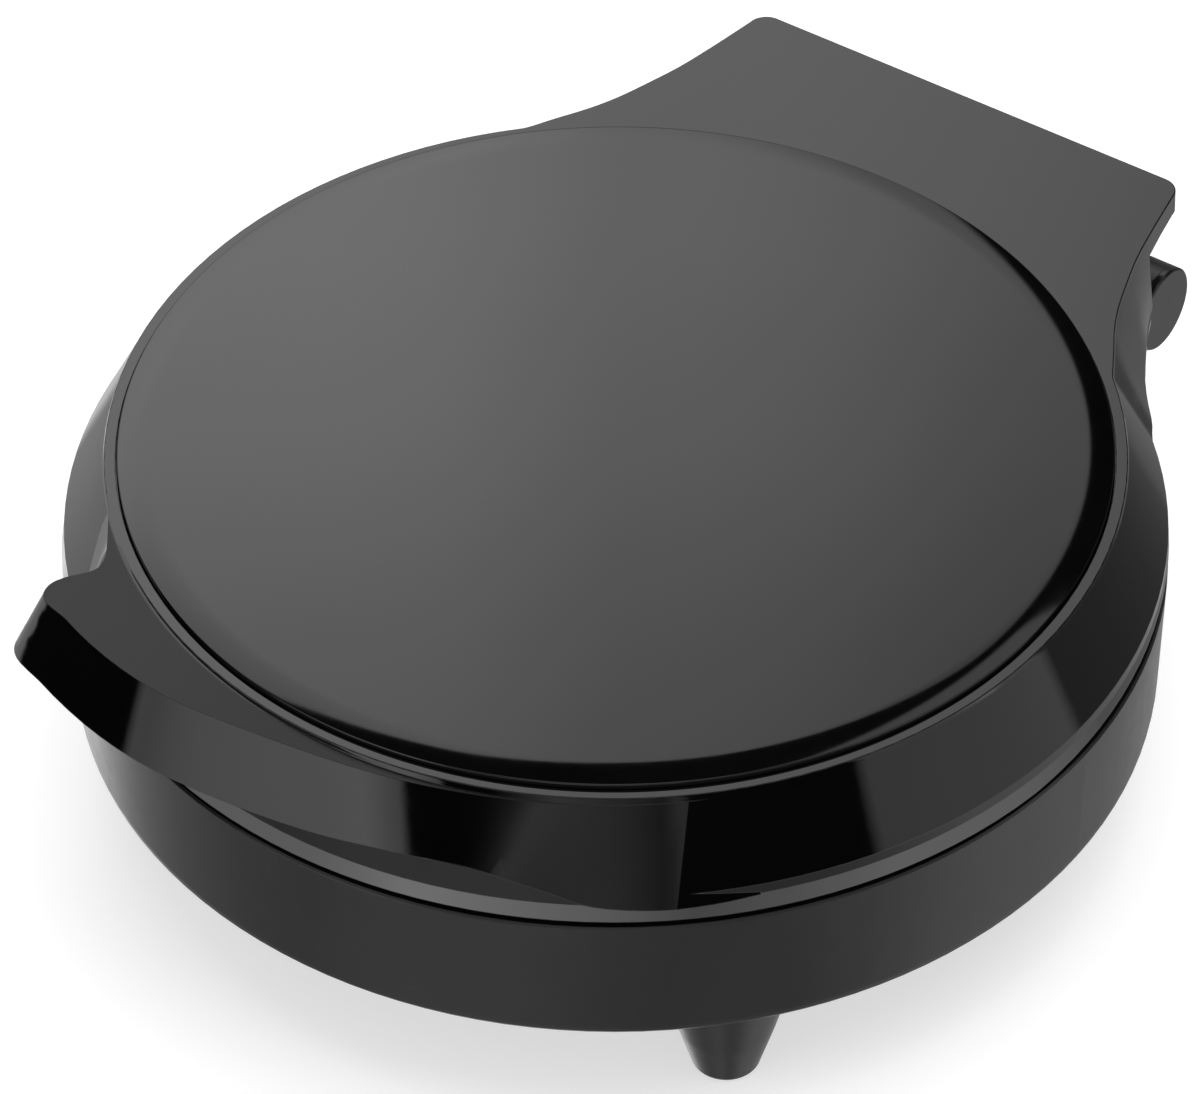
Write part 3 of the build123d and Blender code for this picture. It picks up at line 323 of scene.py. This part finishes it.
def plastic(name, base, rough, ior=1.5, peel=0.0, grain=0.0, grain_scale=1800.0, spread=0.25, soft=0.0):
    m, t, b, at = begin(name)
    lo = tuple(x * (1 - spread) for x in base)
    hi = tuple(x * (1 + spread) for x in base)
    broad = noise(t, at, 22.0, 4.0, 0.55)
    t.link(t.mixc(t.mapr(broad, 0.3, 0.7, 0.0, 1.0), lo, hi), b.inputs["Base Color"])
    fine = noise(t, at, 160.0, 5.0, 0.65)
    t.link(t.mapr(fine, 0.3, 0.75, rough[0], rough[1]), b.inputs["Roughness"])
    b.inputs["IOR"].default_value = ior
    layers = []
    if peel:
        layers.append((noise(t, at, 260.0, 1.0, 0.4), peel, 0.00002))
    if grain:
        layers.append((noise(t, at, grain_scale, 3.0, 0.6), grain, 0.00004))
    if layers:
        bump(t, b, layers, soft)
    return m


def metal(name, base, rough, stretch=(1, 1, 1), scale=400.0, tint=None, grain=0.1, coat=0.0):
    m, t, b, at = begin(name)
    streak = noise(t, at, scale, 4.0, 0.6, stretch)
    col = t.mixc(t.mapr(streak, 0.3, 0.7, 0.0, 1.0), tuple(x * 0.82 for x in base), base)
    if tint:
        patch = noise(t, at, 60.0, 3.0, 0.6)
        col = t.mixc(t.mapr(patch, 0.42, 0.62, 0.0, 1.0, True), col, tint)
    t.link(col, b.inputs["Base Color"])
    b.inputs["Metallic"].default_value = 1.0
    t.link(t.mapr(streak, 0.25, 0.75, rough[0], rough[1]), b.inputs["Roughness"])
    if coat:
        b.inputs["Coat Weight"].default_value = coat
    bump(t, b, [(streak, grain, 0.00003)])
    return m


MATS = {
    "lid_plastic": plastic("lid_plastic", (0.0017, 0.0017, 0.00175), (0.035, 0.07), peel=0.10, soft=0.0003),
    "panel_lacquer": plastic("panel_lacquer", (0.0018, 0.0018, 0.00185), (0.05, 0.08), peel=0.05),
    "base_plastic": plastic("base_plastic", (0.007, 0.007, 0.0071), (0.22, 0.28), peel=0.06, grain=0.10, soft=0.0004),
    "under_plastic": plastic("under_plastic", (0.02, 0.02, 0.0205), (0.42, 0.55), grain=0.5),
    "foot_plastic": plastic("foot_plastic", (0.008, 0.008, 0.0082), (0.20, 0.28), ior=1.38, peel=0.06, grain=0.08),
    "heat_plastic": plastic("heat_plastic", (0.018, 0.0175, 0.017), (0.45, 0.6), grain=0.6, grain_scale=1300.0),
    "terminal_plastic": plastic("terminal_plastic", (0.62, 0.58, 0.50), (0.4, 0.5), grain=0.2, spread=0.06),
    "pad_rubber": plastic("pad_rubber", (0.016, 0.016, 0.016), (0.6, 0.8), grain=0.8, grain_scale=1100.0),
    "wire_sleeve": plastic("wire_sleeve", (0.62, 0.60, 0.54), (0.5, 0.65), grain=0.5, spread=0.08),
    "nonstick": plastic("nonstick", (0.012, 0.012, 0.0125), (0.30, 0.42), grain=0.5, grain_scale=2600.0),
    "reflector_sheet": metal("reflector_sheet", (0.72, 0.72, 0.73), (0.22, 0.34), (1, 0.05, 1)),
    "element_steel": metal("element_steel", (0.20, 0.185, 0.17), (0.32, 0.5), tint=(0.10, 0.075, 0.055)),
    "bracket_steel": metal("bracket_steel", (0.55, 0.55, 0.54), (0.25, 0.4), (1, 0.1, 1)),
    "spring_steel": metal("spring_steel", (0.22, 0.22, 0.23), (0.25, 0.4)),
    "screw_steel": metal("screw_steel", (0.60, 0.61, 0.62), (0.22, 0.36)),
    "pin_steel": metal("pin_steel", (0.62, 0.62, 0.62), (0.16, 0.26), (0.1, 1, 1)),
}

# the top face of the lip is satin, unlike the rest of the lid
lm = MATS["lid_plastic"]
lt = Tree.__new__(Tree)
lt.t = lm.node_tree
lb = [n for n in lm.node_tree.nodes if n.type == "BSDF_PRINCIPLED"][0]
gloss = lb.inputs["Roughness"].links[0].from_socket
co = lt.node("ShaderNodeTexCoord")
pos = lt.node("ShaderNodeSeparateXYZ")
lt.link(co.outputs["Object"], pos.inputs[0])
nor = lt.node("ShaderNodeSeparateXYZ")
lt.link(co.outputs["Normal"], nor.inputs[0])
dy = lt.math("SUBTRACT", pos.outputs["Y"], YC)
rr2 = lt.math("ADD", lt.math("MULTIPLY", pos.outputs["X"], pos.outputs["X"]), lt.math("MULTIPLY", dy, dy))
outside = lt.mapr(lt.math("SQRT", rr2), 0.1513, 0.1521, 0.0, 1.0)
face_up = lt.mapr(nor.outputs["Z"], 0.975, 0.99, 0.0, 1.0)
front = lt.mapr(pos.outputs["Y"], -0.055, -0.045, 1.0, 0.0)
satin = lt.math("MULTIPLY", lt.math("MULTIPLY", outside, face_up), front)
lt.link(lt.mixf(satin, gloss, 0.46), lb.inputs["Roughness"])
# ---------------------------------------------------------------- top panel
# The panel mirrors the studio, so it is turned again as one finely divided mesh.
def arc_through(p, q, r, count):
    (ax, ay), (bx_, by_), (cx, cy) = p, q, r
    d = 2 * (ax * (by_ - cy) + bx_ * (cy - ay) + cx * (ay - by_))
    ux = ((ax * ax + ay * ay) * (by_ - cy) + (bx_ * bx_ + by_ * by_) * (cy - ay) + (cx * cx + cy * cy) * (ay - by_)) / d
    uy = ((ax * ax + ay * ay) * (cx - bx_) + (bx_ * bx_ + by_ * by_) * (ax - cx) + (cx * cx + cy * cy) * (bx_ - ax)) / d
    rad = ((ax - ux) ** 2 + (ay - uy) ** 2) ** 0.5
    out = []
    for i in range(count):
        x = ax + (cx - ax) * i / (count - 1)
        out.append((x, uy + (rad * rad - (x - ux) ** 2) ** 0.5 * (1 if ay > uy else -1)))
    return out


def bezier(p, q, r, count):
    out = []
    for i in range(1, count + 1):
        u = i / count
        out.append(tuple((1 - u) ** 2 * p[j] + 2 * u * (1 - u) * q[j] + u * u * r[j] for j in (0, 1)))
    return out


profile = arc_through((0.0, 123.29), (69.0, 122.73), (138.0, 121.036), 60)
profile += bezier((138.0, 121.036), (142.38, 120.892), (146.7, 120.13), 40)
profile += bezier((146.7, 120.13), (147.05, 120.065), (147.1, 119.7), 8)
profile += [(147.38, 117.7), (147.38, 117.0), (147.38, 116.32), (145.4, 116.32), (145.2, 117.9), (142.8, 118.75),
            (137.5, 119.2)]
profile += arc_through((137.5, 119.2), (70.0, 120.92), (0.0, 121.5), 16)[1:]
SEG = 512
verts, faces = [], []
rows_ = []
for r_, z_ in profile:
    if r_ < 1e-6:
        rows_.append([len(verts)])
        verts.append((0.0, YC, z_ / 1000))
    else:
        rows_.append(list(range(len(verts), len(verts) + SEG)))
        for k in range(SEG):
            a = 2 * pi * k / SEG
            verts.append((r_ * cos(a) / 1000, YC + r_ * sin(a) / 1000, z_ / 1000))
for u_, v_ in zip(rows_, rows_[1:]):
    for k in range(SEG):
        k2 = (k + 1) % SEG
        if len(u_) == 1:
            faces.append((u_[0], v_[k], v_[k2]))
        elif len(v_) == 1:
            faces.append((u_[k], v_[0], u_[k2]))
        else:
            faces.append((u_[k], v_[k], v_[k2], u_[k2]))
for j in range(6):                                   # studs
    a0 = radians(15 + 60 * j)
    cx_, cy_ = 0.132 * cos(a0), YC + 0.132 * sin(a0)
    n0 = len(verts)
    for z_ in (0.1190, 0.1088, 0.1086):
        rr = 0.0018 if z_ == 0.1086 else 0.002
        for k in range(32):
            a = 2 * pi * k / 32
            verts.append((cx_ + rr * cos(a), cy_ + rr * sin(a), z_))
    for ring in (0, 32):
        for k in range(32):
            k2 = (k + 1) % 32
            faces.append((n0 + ring + k, n0 + ring + 32 + k, n0 + ring + 32 + k2, n0 + ring + k2))
    faces.append(tuple(n0 + 64 + k for k in range(31, -1, -1)))
me = bpy.data.meshes.new("lid_top_panel_fine")
me.from_pydata(verts, [], faces)
me.update()
for poly in me.polygons:
    poly.use_smooth = True
me.set_sharp_from_angle(angle=radians(40))
panel = bpy.data.objects.new("lid_top_panel_fine", me)
scene.collection.objects.link(panel)
me.materials.append(MATS["panel_lacquer"])
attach(panel, "lid")
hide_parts("lid_top_panel")

slot_of = {}
for n, ob in nodes.items():
    old = ob.data.materials[0].name.split(".")[0]
    slot_of[n] = old
    for i in range(len(ob.material_slots)):
        ob.material_slots[i].link = "OBJECT"
        ob.material_slots[i].material = MATS[old]
